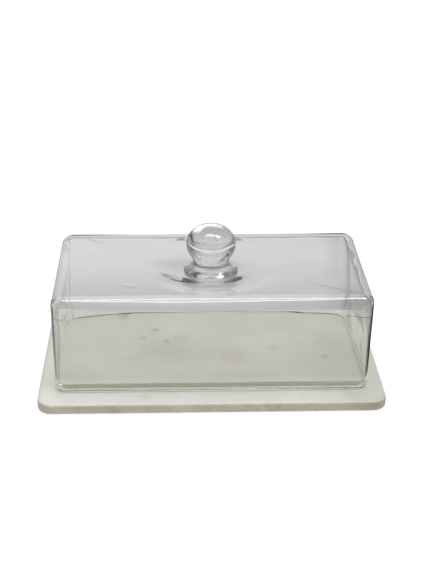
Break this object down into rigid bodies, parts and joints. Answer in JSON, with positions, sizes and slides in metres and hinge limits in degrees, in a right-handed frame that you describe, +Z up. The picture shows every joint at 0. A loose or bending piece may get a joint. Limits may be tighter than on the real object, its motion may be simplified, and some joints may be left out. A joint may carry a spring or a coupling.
{
  "type": "cheese dome",
  "caption": "Rectangular clear glass cover with a round glass knob that lifts off a flat marble serving board with rounded corners.",
  "frame": {"origin": "on the table, under the middle of the board", "axes": "+X along the board, +Y to its back, +Z up"},
  "size_m": [0.305, 0.168, 0.1379],
  "materials": {
    "marble": "honed white marble, faint grey and beige veins",
    "dome_glass": "hand-blown clear glass, slightly grey-green",
    "knob_glass": "solid clear glass with a few seeds and cords",
    "clear_pad": "translucent soft plastic"
  },
  "bodies": {
    "base": {"marble_board": "marble", "bumper_pad_front_left": "clear_pad", "bumper_pad_front_right": "clear_pad", "bumper_pad_back_left": "clear_pad", "bumper_pad_back_right": "clear_pad"},
    "dome": {"glass_dome": "dome_glass", "knob_foot": "knob_glass", "knob_ball": "knob_glass"}
  },
  "joints": [
    {"name": "dome_lift", "type": "slide", "parent": "base", "child": "dome", "axis": [0, 0, 1], "range_m": [0, 0.15]}
  ]
}
